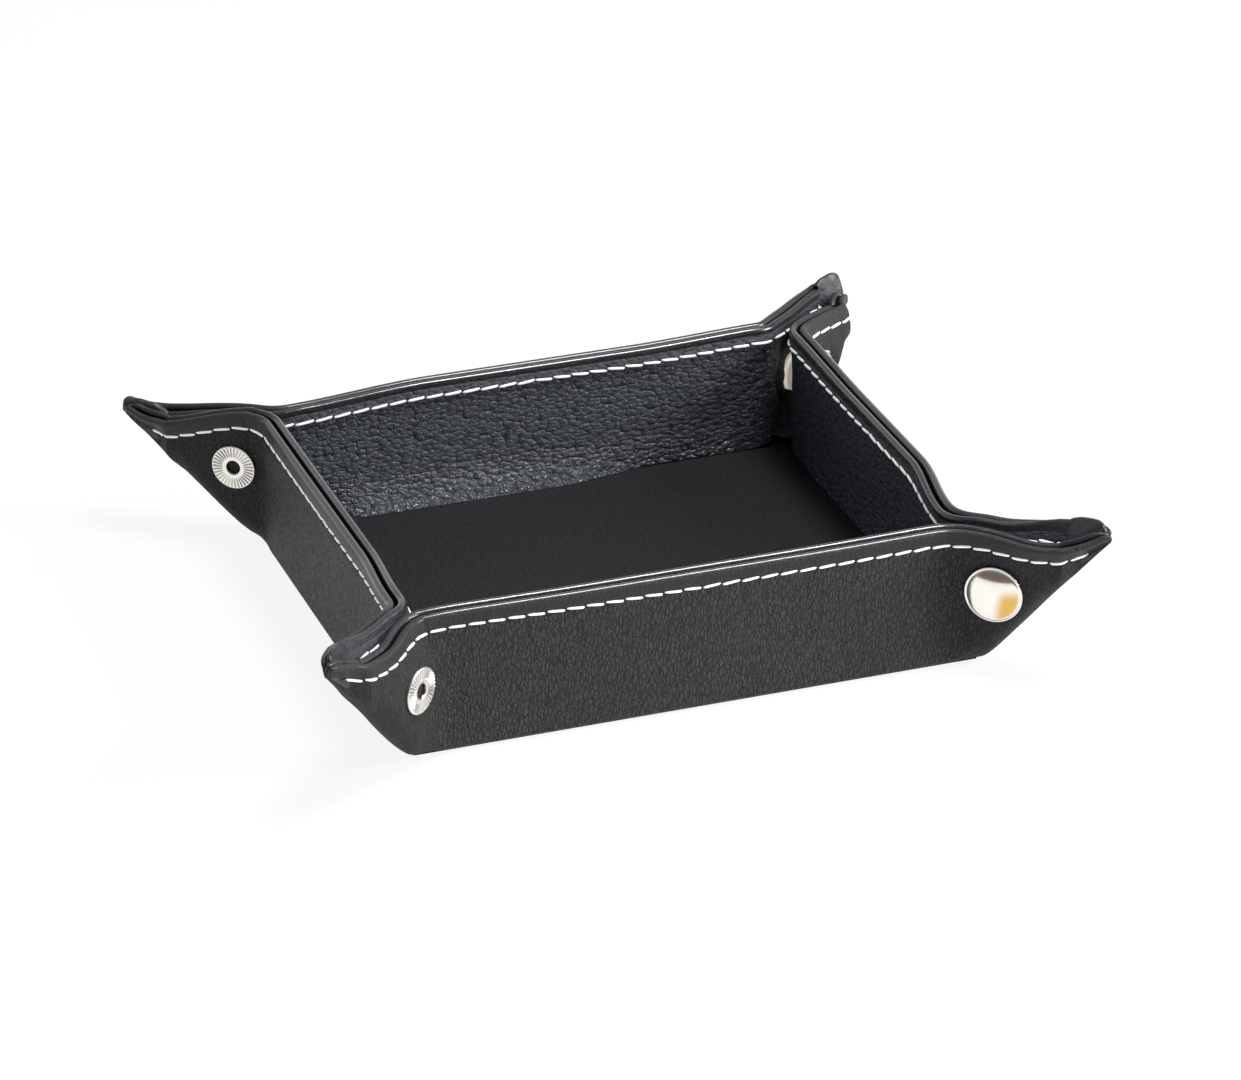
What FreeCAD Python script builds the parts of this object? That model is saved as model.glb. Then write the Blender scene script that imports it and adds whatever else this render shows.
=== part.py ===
import FreeCAD, Part
import math
import os
from FreeCAD import Vector

# A valet tray of leather that unsnaps and folds flat. Base and walls are boards between a cover
# and a lining, and at each corner the leather is pinched into an ear that a snap holds shut.
# The origin is the middle of the underside, the front faces -Y and +X runs along the front wall.

# Base and walls, in millimetres
base_length = 126.0
base_width = 108.0
rim_height = 31.5
cover_thickness = 1.0
lining_thickness = 1.0
board_thickness = 2.0
base_corner_radius = 6.0
bottom_round = 3.0

# Turned edges and the seam round the rim
hem_depth = 6.0
hem_step = 1.9
seam_depth = 3.6
stitch_pitch = 4.2
stitch_length = 3.3
thread_radius = 0.35

# Ears: they lean from the corners' diagonals towards the tray's ends, by an angle in degrees. The
# snap's axis is measured outwards from the base's corner, and down from the rim.
ear_lean = 6.0
tip_trim = 2.0
snap_out = 2.8
snap_drop = 13.3

# Snap, cap side
cap_diameter = 12.5
cap_rise = 2.2
cap_edge = 0.6
cap_curl = 0.9
cap_sheet = 0.45
shank_diameter = 3.4
shank_bore = 2.6
clinch_diameter = 4.8
clinch_height = 0.4
socket_diameter = 9.0
socket_sheet = 0.4
socket_wire = 0.6
wire_opening = 1.2

# Snap, post side
stud_flange = 0.5
stud_head_diameter = 5.3
stud_neck_diameter = 4.7
stud_head_height = 1.3
stud_edge = 0.35
post_diameter = 10.0
post_flange = 0.6
post_edge = 0.3
post_hole_edge = 0.45
barrel_diameter = 3.5
barrel_bore = 2.9
barrel_curl = 0.25
barrel_curl_diameter = 4.3
rib_count = 32
rib_depth = 0.2
rib_start_diameter = 5.2

# Clearances
crease_clearance = 0.3
fold_clearance = 0.1
foot_clearance = 0.2
board_clearance = 0.2
lip_clearance = 0.15
bore_clearance = 0.05
seat_clearance = 0.3
stud_clearance = 0.4
mouth_clearance = 1.0
head_clearance = 0.7

# What follows from the sizes above. An ear's half lies parallel to the plane where the two
# halves meet: its lining's face is half_gap and its cover's face is ear_face from that plane.
stack = cover_thickness + board_thickness + lining_thickness
hem_split = cover_thickness + board_thickness / 2
hem_foot = rim_height - hem_depth
half_gap = board_thickness + thread_radius + lip_clearance
ear_face = half_gap + lining_thickness + cover_thickness
diagonal = math.sqrt(2)

# A wall folds about a line in the cover, set so that the ear's halves also meet edge to edge
# when the tray lies flat. The wall's foot clears the base's edge all the way round.
crease_inset = ear_face * (diagonal - 1) / 2 - fold_clearance
wall_foot = crease_inset + math.hypot(crease_inset, stack - crease_inset) + foot_clearance
fold_room = ear_face * (diagonal - 1) + fold_clearance
ear_reach = rim_height - tip_trim

snap_height = rim_height - snap_drop
socket_depth = 2 * half_gap - stud_flange - mouth_clearance
stud_top = socket_sheet + clinch_height + head_clearance - half_gap
mouth_radius = stud_head_diameter / 2 + stud_clearance

walls = ("front", "right", "back", "left")
nodes = {}


def bend(turn):
    """The angle in radians that the leather turns by at both ends of the turn-th wall."""
    return math.radians(45 + ear_lean * (-1 if turn % 2 == 0 else 1))


def line(points):
    return [Part.LineSegment(a, b).toShape() for a, b in zip(points, points[1:]) if a != b]


def arc(start, middle, end):
    return [Part.Arc(start, middle, end).toShape()]


def face(edges):
    return Part.Face(Part.Wire(edges))


def polygon(points):
    return face(line(points + points[:1]))


def block(low, high):
    size = high - low
    return Part.makeBox(size.x, size.y, size.z, low)


def hemmed_sheet(place, sheet, hem, step, run):
    """A leather panel as a section drawn by place(depth, height) and drawn out along run. Its sheet
    and its thicker turned edge are (outer, inner) depths, and the edge has a full round on top."""
    crown = rim_height - (hem[1] - hem[0]) / 2
    rise = [place(sheet[0], wall_foot), place(sheet[0], hem_foot - step)]
    rise += [place(hem[0], hem_foot), place(hem[0], crown)]
    fall = [place(hem[1], crown), place(hem[1], hem_foot)]
    fall += [place(sheet[1], hem_foot - step), place(sheet[1], wall_foot), rise[0]]
    top = place((hem[0] + hem[1]) / 2, rim_height)
    section = line(rise) + arc(rise[-1], top, fall[0]) + line(fall)
    return face(section).extrude(run).removeSplitter()


def stitch_row(start, end, y, bulge):
    """Half-round stitches along X on a face at y, standing out to the side that bulge points to."""
    z = rim_height - seam_depth
    count = int((end - start) / stitch_pitch)
    first = (start + end - count * stitch_pitch + stitch_pitch - stitch_length) / 2
    row = []
    for i in range(count):
        x = first + i * stitch_pitch
        low = Vector(x, y, z - thread_radius)
        high = Vector(x, y, z + thread_radius)
        crown = Vector(x, y + bulge * thread_radius, z)
        thread = face(arc(low, crown, high) + line([high, low]))
        row.append(thread.extrude(Vector(stitch_length, 0, 0)))
    return row


# Base: the cover is a shallow dish with a rounded underside that holds the board and the lining

def rounded_slab(length, width, low, high, corner, underside):
    slab = block(Vector(-length / 2, -width / 2, low), Vector(length / 2, width / 2, high))
    upright = [e for e in slab.Edges if e.BoundBox.ZLength > (high - low) / 2]
    slab = slab.makeFillet(corner, upright)
    if underside > 0:
        lowest = [e for e in slab.Edges if e.BoundBox.ZMax < (low + high) / 2]
        slab = slab.makeFillet(underside, lowest)
    return slab


def base_cover():
    inner_round = max(0, bottom_round - cover_thickness)
    outside = rounded_slab(base_length, base_width, 0, stack, base_corner_radius, bottom_round)
    inside = rounded_slab(
        base_length - 2 * cover_thickness,
        base_width - 2 * cover_thickness,
        cover_thickness,
        stack + cover_thickness,
        base_corner_radius - cover_thickness,
        inner_round,
    )
    return outside.cut(inside)


def base_layer(low, high, inset):
    """A flat layer inside the dish, inset from its outside."""
    corner = base_corner_radius - cover_thickness
    return rounded_slab(base_length - 2 * inset, base_width - 2 * inset, low, high, corner, 0)


board_top = cover_thickness + board_thickness
layer_inset = cover_thickness + board_clearance
nodes["base_cover"] = base_cover()
nodes["base_board"] = base_layer(cover_thickness, board_top, bottom_round + board_clearance)
nodes["base_lining"] = base_layer(board_top, stack, layer_inset)


# Walls: each is drawn as the front wall and turned to its side

def wall_pieces(length, outer_face, bend):
    half = length / 2 - ear_face / math.sin(bend) - crease_clearance / 2
    run = Vector(2 * half, 0, 0)

    def place(depth, height):
        return Vector(-half, depth - outer_face, height)

    cover = hemmed_sheet(place, (0, cover_thickness), (0, hem_split), 0, run)
    lining = hemmed_sheet(place, (board_top, stack), (hem_split, stack), 0, run)
    board = block(
        place(cover_thickness, wall_foot) + Vector(board_clearance, 0, 0),
        place(board_top, hem_foot - board_clearance) + run - Vector(board_clearance, 0, 0),
    )
    thread = stitch_row(-half, half, -outer_face, -1)
    thread += stitch_row(-half, half, stack - outer_face, 1)
    return {"cover": cover, "lining": lining, "board": board, "stitching": Part.makeCompound(thread)}


def turned_to_wall(shape, turn):
    return shape.rotated(Vector(0, 0, 0), Vector(0, 0, 1), 90 * turn)


for turn, wall in enumerate(walls):
    along_x = turn % 2 == 0
    length = base_length if along_x else base_width
    outer_face = (base_width if along_x else base_length) / 2
    for name, shape in wall_pieces(length, outer_face, bend(turn)).items():
        nodes[f"{wall}_{name}"] = turned_to_wall(shape, turn)


# Ears: drawn at a corner with the ear along +X and the halves either side of the plane y = 0.
# A half is a flat sheet up to the slanting fold, and rounds over from there towards the plane. It
# stops fold_room short of it, because stiff halves would cross there half-way down.

def fold_edge(height):
    """How far out the flat sheet goes at a height: the fold's crown slants up from the corner."""
    return height - diagonal * ear_face


def ear_start(bend):
    """Where the sheet begins, beside the crease at the end of a wall that the leather turns from."""
    return crease_clearance / 2 - ear_face / math.tan(bend)


def ear_outline(start):
    corners = [(start, wall_foot), (fold_edge(wall_foot), wall_foot)]
    corners += [(fold_edge(rim_height), rim_height), (start, rim_height)]
    return polygon([Vector(x, 0, z) for x, z in corners]).extrude(Vector(0, ear_face, 0))


def fold_round(outer, inner):
    """The quarter round along the fold between two radii about the fold's own axis."""
    axis = Vector(fold_edge(0), 0, 0)
    across = Vector(1, 0, -1).normalize()
    side = Vector(0, 1, 0)
    between = (across + side).normalize()
    section = arc(axis + side * outer, axis + between * outer, axis + across * outer)
    section += line([axis + across * outer, axis + across * inner])
    section += arc(axis + across * inner, axis + between * inner, axis + side * inner)
    section += line([axis + side * inner, axis + side * outer])
    return face(section).extrude(Vector(1, 0, 1) * (rim_height + ear_face))


def snap_bore(diameter):
    """The hole for the snap's shank, and the flat seat that keeps its flange clear of the turned edge."""
    hole_foot = Vector(snap_out, 0, snap_height)
    seat_foot = Vector(snap_out, -half_gap, snap_height)
    side = Vector(0, 1, 0)
    hole = Part.makeCylinder(diameter / 2 + bore_clearance, ear_face, hole_foot, side)
    seat = Part.makeCylinder(socket_diameter / 2 + seat_clearance, 2 * half_gap, seat_foot, side)
    return hole.fuse(seat)


def ear_sheet(start, sheet, hem, step, fold_top, bore):
    def place(depth, height):
        return Vector(start, ear_face - depth, height)

    panel = hemmed_sheet(place, sheet, hem, step, Vector(rim_height, 0, 0)).common(ear_outline(start))
    edge = fold_round(ear_face - sheet[0], ear_face - sheet[1])
    room = block(Vector(start, fold_room, wall_foot), Vector(ear_reach, ear_face, fold_top))
    return panel.fuse(edge.common(room)).cut(snap_bore(bore)).removeSplitter()


def ear_pieces(start, bore):
    both = cover_thickness + lining_thickness
    step_foot = hem_foot - hem_step
    seam_end = fold_edge(rim_height - seam_depth)
    thread = stitch_row(start, seam_end, ear_face, 1)
    thread += stitch_row(start, seam_end, ear_face - stack, -1)
    return {
        "cover": ear_sheet(start, (0, cover_thickness), (0, hem_split), 0, rim_height, bore),
        "lining": ear_sheet(start, (cover_thickness, both), (hem_split, stack), hem_step, step_foot, bore),
        "stitching": Part.makeCompound(thread),
    }


# Snaps: turned pieces about the snap's axis, drawn as radius along X and height along +Y outwards

def turned_piece(section):
    solid = face(section).revolve(Vector(0, 0, 0), Vector(0, 1, 0), 360)
    return solid.translated(Vector(snap_out, 0, snap_height))


def snap_cap():
    """A domed cap with a rolled edge. Its hollow shank goes through the leather to the socket."""
    edge = cap_diameter / 2
    sagitta = cap_rise - cap_edge
    dome_radius = (edge * edge + sagitta * sagitta) / (2 * sagitta)
    centre = ear_face + cap_rise - dome_radius

    def dome(radius, sheet=0):
        return Vector(radius, centre + math.sqrt((dome_radius - sheet) ** 2 - radius ** 2), 0)

    shank = shank_diameter / 2
    bore = shank_bore / 2
    curl = edge - cap_curl
    clinch_top = half_gap - socket_sheet
    clinch_foot = clinch_top - clinch_height
    section = arc(dome(0), dome(edge / 2), dome(edge))
    section += line([dome(edge), Vector(edge, ear_face, 0), Vector(curl, ear_face, 0), dome(curl, cap_sheet)])
    section += arc(dome(curl, cap_sheet), dome((curl + shank) / 2, cap_sheet), dome(shank, cap_sheet))
    section += line([
        dome(shank, cap_sheet),
        Vector(shank, clinch_top, 0),
        Vector(clinch_diameter / 2, clinch_top, 0),
        Vector(clinch_diameter / 2, clinch_foot, 0),
        Vector(bore, clinch_foot, 0),
        dome(bore, cap_sheet),
    ])
    section += arc(dome(bore, cap_sheet), dome(bore / 2, cap_sheet), dome(0, cap_sheet))
    section += line([dome(0, cap_sheet), dome(0)])
    return turned_piece(section)


def snap_socket():
    """A pressed cup on the lining, and the wire ring behind its mouth, drawn open as a stud passes."""
    outer = socket_diameter / 2
    hole = shank_diameter / 2 + bore_clearance
    mouth = half_gap - socket_depth
    outline = [(hole, half_gap), (outer, half_gap), (outer, mouth), (mouth_radius, mouth)]
    outline += [(mouth_radius, mouth + socket_sheet), (outer - socket_sheet, mouth + socket_sheet)]
    outline += [(outer - socket_sheet, half_gap - socket_sheet), (hole, half_gap - socket_sheet)]
    outline.append(outline[0])
    cup = turned_piece(line([Vector(r, y, 0) for r, y in outline]))
    wire = socket_wire / 2
    ring_radius = mouth_radius + wire + bore_clearance
    ring_centre = Vector(snap_out, mouth + socket_sheet + wire + bore_clearance, snap_height)
    ring = Part.makeTorus(ring_radius, wire, ring_centre, Vector(0, 1, 0))
    opening = Vector(wire_opening / 2, socket_wire, 0)
    gap = block(ring_centre - opening, ring_centre + opening + Vector(0, 0, outer))
    return Part.makeCompound([cup, ring.cut(gap)])


def snap_stud():
    """A flanged stud on the lining, with a waist that the socket's mouth goes round and a head."""
    flange = socket_diameter / 2
    hole = barrel_diameter / 2 + bore_clearance
    neck = stud_neck_diameter / 2
    head = stud_head_diameter / 2
    flange_face = half_gap - stud_flange
    head_foot = stud_top + stud_head_height
    outline = [(hole, half_gap), (flange, half_gap), (flange, flange_face), (neck, flange_face)]
    outline += [(neck, head_foot), (head, head_foot - stud_edge), (head, stud_top + stud_edge)]
    outline += [(head - stud_edge, stud_top), (hole, stud_top)]
    outline.append(outline[0])
    return turned_piece(line([Vector(r, y, 0) for r, y in outline]))


def snap_post():
    """An open post: a ribbed flange on the cover and a barrel that is rolled over the stud's head."""
    flange = post_diameter / 2
    bore = barrel_bore / 2
    barrel = barrel_diameter / 2
    curl = barrel_curl_diameter / 2
    top = ear_face + post_flange
    outline = [(bore, ear_face), (bore + post_hole_edge, top), (flange - post_edge, top)]
    outline += [(flange, top - post_edge), (flange, ear_face), (barrel, ear_face), (barrel, stud_top)]
    outline += [(curl, stud_top), (curl, stud_top - barrel_curl), (bore, stud_top - barrel_curl)]
    outline.append(outline[0])
    post = turned_piece(line([Vector(r, y, 0) for r, y in outline]))
    half_rib = math.pi * rib_start_diameter / rib_count / 4
    start = rib_start_diameter / 2
    groove = polygon([
        Vector(start, top - rib_depth, 0),
        Vector(start, top + rib_depth, half_rib * 2),
        Vector(start, top + rib_depth, -half_rib * 2),
    ]).extrude(Vector(flange, 0, 0))
    cuts = [groove.rotated(Vector(0, 0, 0), Vector(0, 1, 0), 360 * i / rib_count) for i in range(rib_count)]
    return post.cut(Part.makeCompound(cuts).translated(Vector(snap_out, 0, snap_height)))


def other_side(shape):
    return shape.mirror(Vector(0, 0, 0), Vector(0, 1, 0))


def at_corner(shape, turn):
    """Puts a shape drawn with its ear along +X at the turn-th corner, front right first."""
    x = base_length / 2 * (1 if turn in (0, 1) else -1)
    y = base_width / 2 * (1 if turn in (1, 2) else -1)
    along_ear = 90 * turn - math.degrees(bend(turn))
    return shape.rotated(Vector(0, 0, 0), Vector(0, 0, 1), along_ear).translated(Vector(x, y, 0))


# Seen from outside, each wall's right end carries a cap and its left end a post
snap_pieces = {"cap": other_side(snap_cap()), "socket": other_side(snap_socket())}
snap_pieces.update({"stud": snap_stud(), "post": snap_post()})
corners = ("front_right", "back_right", "back_left", "front_left")
for turn, corner in enumerate(corners):
    cap_wall = walls[turn]
    post_wall = walls[(turn + 1) % len(walls)]
    for name, shape in ear_pieces(ear_start(bend(turn)), shank_diameter).items():
        nodes[f"{cap_wall}_{post_wall}_ear_{name}"] = at_corner(other_side(shape), turn)
    for name, shape in ear_pieces(ear_start(bend(turn + 1)), barrel_diameter).items():
        nodes[f"{post_wall}_{cap_wall}_ear_{name}"] = at_corner(shape, turn)
    for name, shape in snap_pieces.items():
        nodes[f"{corner}_snap_{name}"] = at_corner(shape, turn)

os.makedirs("parts", exist_ok=True)
for name, shape in nodes.items():
    shape.exportStep(f"parts/{name}.step")
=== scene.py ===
import math
from types import SimpleNamespace

import bpy
import numpy as np
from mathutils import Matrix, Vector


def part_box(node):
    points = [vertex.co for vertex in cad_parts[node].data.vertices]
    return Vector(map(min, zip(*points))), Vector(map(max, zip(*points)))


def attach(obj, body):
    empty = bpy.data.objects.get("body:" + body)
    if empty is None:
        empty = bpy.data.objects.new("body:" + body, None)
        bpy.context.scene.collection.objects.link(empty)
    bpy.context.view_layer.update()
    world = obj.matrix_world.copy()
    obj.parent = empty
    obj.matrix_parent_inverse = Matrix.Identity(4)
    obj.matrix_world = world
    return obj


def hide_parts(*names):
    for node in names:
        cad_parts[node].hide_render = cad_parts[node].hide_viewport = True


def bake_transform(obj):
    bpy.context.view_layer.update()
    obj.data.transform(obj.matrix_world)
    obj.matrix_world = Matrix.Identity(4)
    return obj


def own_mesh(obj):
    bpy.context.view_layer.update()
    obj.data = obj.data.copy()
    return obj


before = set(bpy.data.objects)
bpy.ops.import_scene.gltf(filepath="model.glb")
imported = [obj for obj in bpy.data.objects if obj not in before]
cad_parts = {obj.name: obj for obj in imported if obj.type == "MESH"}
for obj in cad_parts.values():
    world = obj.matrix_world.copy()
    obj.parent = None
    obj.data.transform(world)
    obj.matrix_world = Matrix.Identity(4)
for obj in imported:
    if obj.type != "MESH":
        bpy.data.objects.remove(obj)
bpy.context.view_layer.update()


# Cover: one blank of black pebbled leather, the outside of base, walls and ears.
# Its edge is turned over at the rim, and each corner is pinched into an ear.

mm = 0.001
base_length = 126 * mm
base_width = 108 * mm
rim_height = 31.5 * mm
wall_thickness = 4 * mm
sheet = 1 * mm
foot_round = 1.6 * mm
corner_round = 6 * mm
ear_face = 4.5 * mm
ear_lean = math.radians(6)
hem_width = 1.75 * mm
hem_gap = 0.6 * mm
seam_depth = 3.6 * mm
seam_stretch = {"front": 1.0, "right": 1.0, "back": 1.0, "left": 1.25}
rim_lift = {"front": 0.0, "right": 0.4 * mm, "back": 0.8 * mm, "left": 0.0}
walls = ("front", "right", "back", "left")
up = np.array([0.0, 0.0, 1.0])


def ear_rim(mouth, belly, nip, sweep, crest, dip, dip_at, height, reach, cant, pull=0.0):
    """The rim of half an ear, in millimetres: its distance from the ear's middle at the bend, half way out and at
    the tip, the bend's radius, its height at the bend, at its lowest place and at the tip, and the tip's reach.
    Cant is how far the two lips lean with the face, pull how far the end of the wall is drawn in."""
    return SimpleNamespace(mouth=mouth * mm, belly=belly * mm, nip=nip * mm, sweep=sweep * mm, crest=crest * mm,
                           dip=dip * mm, dip_at=dip_at * mm, height=height * mm, reach=reach * mm, cant=cant,
                           pull=pull * mm)


rims = {
    "front_right": ear_rim(5.8, 7.2, 4.0, 10, 31.8, 30.6, 14, 34.6, 27.3, 0.3),
    "right_front": ear_rim(5.2, 6.6, 3.9, 7, 31.4, 31.1, 4, 34.2, 25.8, 1, pull=3.0),
    "back_right": ear_rim(5.6, 6.5, 4.7, 2.5, 33.2, 32.5, 14, 33.3, 24.3, 1),
    "right_back": ear_rim(4.0, 4.0, 2.6, 4, 32.7, 31.9, 12, 31.2, 21.0, 0.5),
    "back_left": ear_rim(3.0, 3.0, 3.4, 8, 30.5, 27.0, 29, 27.6, 32.5, 1),
    "left_back": ear_rim(5.2, 5.5, 4.0, 5, 31.6, 26.0, 23, 28.0, 29.8, 0.5),
    "front_left": ear_rim(1.6, 4.0, 3.6, 5, 31.8, 30.9, 12, 35.4, 31.0, 0.3),
    "left_front": ear_rim(6.8, 6.3, 3.6, 5, 32.0, 31.8, 6, 34.9, 27.5, 1, pull=-1.6),
}
# The folded lower edge of each ear: its slope, its reach, how far it arches and stands open, and how much of its
# tip's length is kept when the tray lies flat.
folds = {
    "front_right": SimpleNamespace(slope=1.25, reach=25.2 * mm, arch=0.0, open=0.0, keep=1.0),
    "back_right": SimpleNamespace(slope=1.42, reach=20.0 * mm, arch=2.0 * mm, open=1.6 * mm, keep=1.0),
    "back_left": SimpleNamespace(slope=0.86, reach=28.8 * mm, arch=0.0, open=0.0, keep=0.80),
    "front_left": SimpleNamespace(slope=1.09, reach=28.6 * mm, arch=0.0, open=0.0, keep=1.0),
}
# Single wrinkles of a half ear, in millimetres: place along the wall, lower and upper end, depth.
wrinkles = {
    "front_right": [(-10.5, 19, 27, 0.30), (-9.0, 21, 26, 0.20)],
    "front_left": [(-3.4, 25, 31, 0.25), (-1.8, 24, 29, 0.20)],
    "left_back": [(-3.3, 23, 31, 0.35)],
}


def ease(x, start, stop):
    """0 at start, 1 at stop, with a soft way in and out."""
    share = np.clip((x - start) / (stop - start), 0, 1)
    return share * share * (3 - 2 * share)


def mixed(first, second, share):
    return first + (second - first) * share


def wall_half(turn, end):
    """Half a wall and its half ear: end is 1 for the half on the right, seen from outside, and -1 for the left."""
    wall = walls[turn]
    other = walls[(turn + end) % 4]
    outward = np.array([(0, -1, 0), (1, 0, 0), (0, 1, 0), (-1, 0, 0)][turn], float)
    along = np.cross(up, outward) * end
    lengthwise = wall in ("front", "back")
    half_length = (base_length if lengthwise else base_width) / 2
    half_width = (base_width if lengthwise else base_length) / 2
    corner = f"{wall}_{other}" if lengthwise else f"{other}_{wall}"
    bend = math.radians(45) + (-ear_lean if lengthwise else ear_lean)
    half = SimpleNamespace(
        wall=wall, end=end, corner=corner, ear=f"{wall}_{other}_ear", length=half_length,
        foot=outward * half_width + along * half_length, along=along, outward=outward, bend=bend,
        ear_way=along * math.cos(bend) + outward * math.sin(bend),
        ear_out=outward * math.cos(bend) - along * math.sin(bend), sweep=(10 if lengthwise else 5) * mm,
        rim=rims[f"{wall}_{other}"], facing=rims[f"{other}_{wall}"], fold=folds[corner])
    low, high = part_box(f"{corner}_snap_cap")
    middle = np.array((low + high) / 2) - half.foot
    half.snap_reach = float(middle @ half.ear_way)
    half.snap_height = float(middle[2])
    bend_start = (10.7 if lengthwise else 8.2) * mm
    bend_stop = 4.3 * mm
    half.bend_line = (half.foot - along * bend_start, half.foot - along * bend_stop)
    half.droops = half.fold.keep < 1
    return half


def walk(half, s, wall_line, ear_line, radius):
    """Plan of one line of the leather: straight along the wall, round the bend and on along the ear."""
    bend = half.bend
    start = (wall_line * math.cos(bend) - ear_line) / math.sin(bend) - radius * math.tan(bend / 2)
    heading = np.clip((s - start) / radius, 0, bend)
    after = np.clip(s - start - radius * bend, 0, None)
    x = np.minimum(s, start) + radius * np.sin(heading) + after * math.cos(bend)
    w = wall_line + radius * (1 - np.cos(heading)) + after * math.sin(bend)
    return x, w, heading


def to_ear(half, x, w):
    """Reach along the ear from the base's corner, and distance from the plane where its halves meet."""
    cos, sin = math.cos(half.bend), math.sin(half.bend)
    return x * cos + w * sin, w * cos - x * sin


def to_wall(half, reach, apart):
    cos, sin = math.cos(half.bend), math.sin(half.bend)
    return reach * cos - apart * sin, reach * sin + apart * cos


ear_onset = 12 * mm


def rim_apart(rim, reach):
    """How far the rim of half an ear stands off the ear's middle plane."""
    closing = np.clip((reach / rim.reach - 0.45) / 0.55, 0, 1) ** 3
    return rim.mouth + (rim.belly - rim.mouth) * ease(reach, 0, ear_onset) + (rim.nip - rim.belly) * closing


def surface_normals(half, points):
    normals = np.cross(np.gradient(points, axis=0), np.gradient(points, axis=1)) * half.end
    return normals / np.linalg.norm(normals, axis=2, keepdims=True)


hem_rows = np.array([7.2, 6.2, 5.4, 4.8, 4.3, 3.95, 3.6, 3.25, 2.9, 2.4, 1.8, 1.3, 0.875]) * mm
foot_row_count = 11
face_row_count = 22
first_face = foot_row_count - 1
panel_columns = 30
bend_columns = 19
ear_columns = 84
panel_end = -16 * mm
foot_end = -7 * mm
tip_start = 3 * mm
tip_length = 10 * mm
blunt_length = 2 * mm
tip_narrowing = 1.2 * mm
tip_drop = 0.9 * mm
stand_off = 0.05 * mm
hem_room = 6.5 * mm
hem_most = 0.86
hem_spare = 0.13
fold_height = 8 * mm
fold_softness = 1.5 * mm
fold_radius = 1.8 * mm
snap_hold = 7.5 * mm
seam_sink = 0.28 * mm
seam_spread = 0.55 * mm
lip_puff = 0.12 * mm
wrinkle_spread = 0.5 * mm
wrinkle_fade = 2 * mm
hair = 1e-9


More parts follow.
